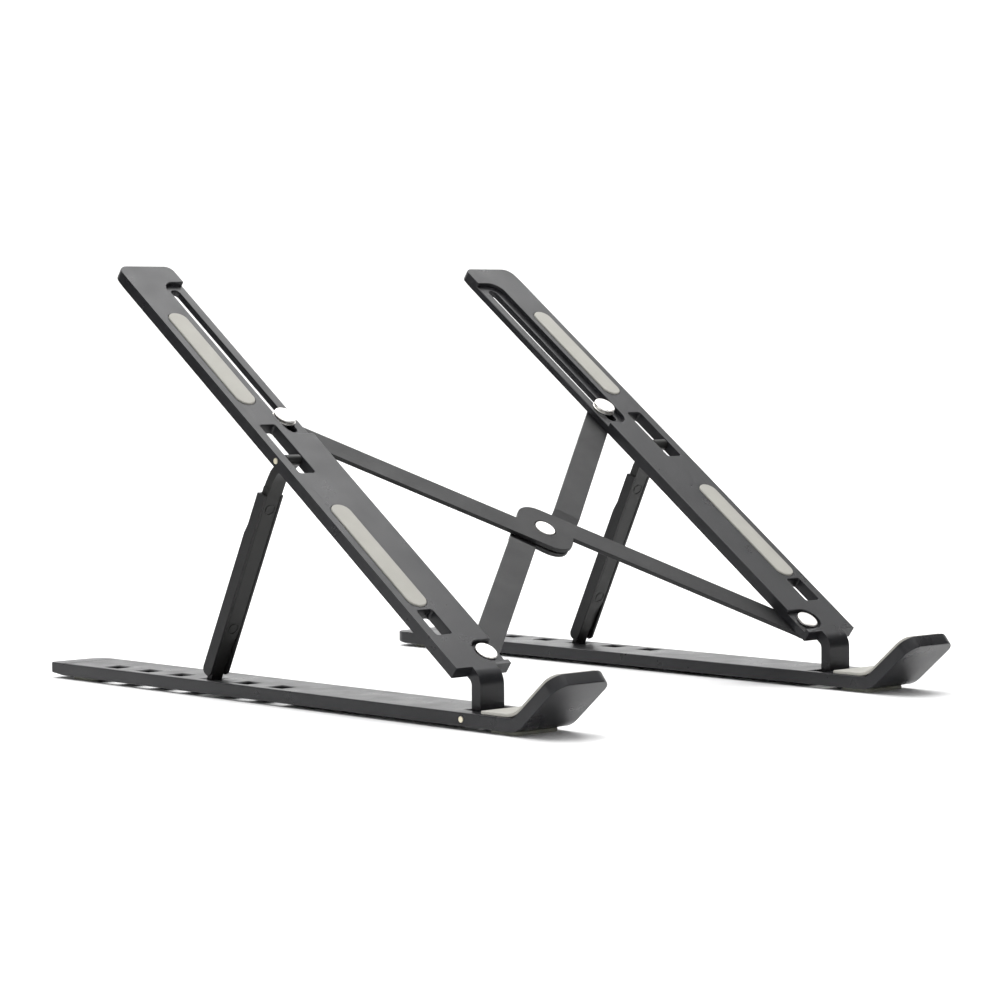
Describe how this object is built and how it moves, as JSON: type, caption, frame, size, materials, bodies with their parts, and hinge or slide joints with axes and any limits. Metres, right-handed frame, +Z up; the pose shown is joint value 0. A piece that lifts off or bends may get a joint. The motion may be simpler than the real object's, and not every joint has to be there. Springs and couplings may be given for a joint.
{
  "type": "laptop stand",
  "caption": "Folding laptop stand with two tilted arms on base rails, joined by crossed bars that close sideways, props in a row of holes, soft pads and upturned front lips.",
  "frame": {"origin": "on the table under the middle of the stand's overall box", "axes": "+X across towards the right arm, +Y to the rear, +Z up; the lips are at the front"},
  "size_m": [0.1802, 0.2586, 0.1429],
  "materials": {
    "black_aluminium": "satin",
    "black_steel": "satin",
    "dark_steel": "satin",
    "grey_silicone": "matte",
    "grey_rubber": "matte",
    "silver_rivet": "satin",
    "brass_pin": "satin"
  },
  "bodies": {
    "left_arm_body": {"left_arm": "black_aluminium", "left_upper_pad": "grey_silicone", "left_lower_pad": "grey_silicone", "left_strut_pin": "brass_pin", "left_fixed_rivet": "silver_rivet"},
    "bar_b_body": {"bar_b": "black_steel", "right_slider_rivet": "silver_rivet", "right_slider_washer": "silver_rivet", "centre_rivet": "silver_rivet"},
    "bar_a_body": {"bar_a": "black_steel", "left_slider_rivet": "silver_rivet", "left_slider_washer": "silver_rivet", "centre_washer": "silver_rivet"},
    "right_arm_body": {"right_arm": "black_aluminium", "right_upper_pad": "grey_silicone", "right_lower_pad": "grey_silicone", "right_strut_pin": "brass_pin", "right_fixed_rivet": "silver_rivet"},
    "left_base_body": {"left_base": "black_aluminium", "left_lip_pad": "grey_silicone", "left_front_foot": "grey_rubber", "left_rear_foot": "grey_rubber", "left_hinge_pin": "brass_pin"},
    "right_base_body": {"right_base": "black_aluminium", "right_lip_pad": "grey_silicone", "right_front_foot": "grey_rubber", "right_rear_foot": "grey_rubber", "right_hinge_pin": "brass_pin"},
    "left_strut_body": {"left_strut_core": "dark_steel", "left_strut_sleeve": "black_steel"},
    "right_strut_body": {"right_strut_core": "dark_steel", "right_strut_sleeve": "black_steel"}
  },
  "joints": [
    {"name": "scissor_left", "type": "hinge", "parent": "left_arm_body", "child": "bar_b_body", "pos_m": [-0.0729, -0.07642, 0.01866], "axis": [0, -0.5878, 0.809], "range_deg": [-1.7, 47]},
    {"name": "scissor_centre", "type": "hinge", "parent": "bar_b_body", "child": "bar_a_body", "pos_m": [0, -0.02789, 0.05392], "axis": [0, -0.5878, 0.809], "range_deg": [-94.4, 3.8]},
    {"name": "scissor_right", "type": "hinge", "parent": "bar_a_body", "child": "right_arm_body", "pos_m": [0.0729, -0.07642, 0.01866], "axis": [0, -0.5878, 0.809], "range_deg": [-1.9, 47.2]},
    {"name": "left_base_hinge", "type": "hinge", "parent": "left_arm_body", "child": "left_base_body", "pos_m": [-0.0789, -0.08619, 0.00335], "axis": [-1, 0, 0], "range_deg": [0, 18]},
    {"name": "left_strut_hinge", "type": "hinge", "parent": "left_arm_body", "child": "left_strut_body", "pos_m": [-0.08355, 0.00176, 0.07898], "axis": [-1, 0, 0], "range_deg": [-0.2, 11.2]},
    {"name": "right_base_hinge", "type": "hinge", "parent": "right_arm_body", "child": "right_base_body", "pos_m": [0.0789, -0.08619, 0.00335], "axis": [-1, 0, 0], "range_deg": [0, 18]},
    {"name": "right_strut_hinge", "type": "hinge", "parent": "right_arm_body", "child": "right_strut_body", "pos_m": [0.08355, 0.00176, 0.07898], "axis": [-1, 0, 0], "range_deg": [-0.2, 11.2]}
  ],
  "couplings": [
    {"joint": "scissor_centre", "follows": "scissor_left", "ratio": -2},
    {"joint": "scissor_right", "follows": "scissor_left", "ratio": 1},
    {"joint": "left_strut_hinge", "follows": "left_base_hinge", "ratio": 0.6},
    {"joint": "right_strut_hinge", "follows": "right_base_hinge", "ratio": 0.6}
  ]
}
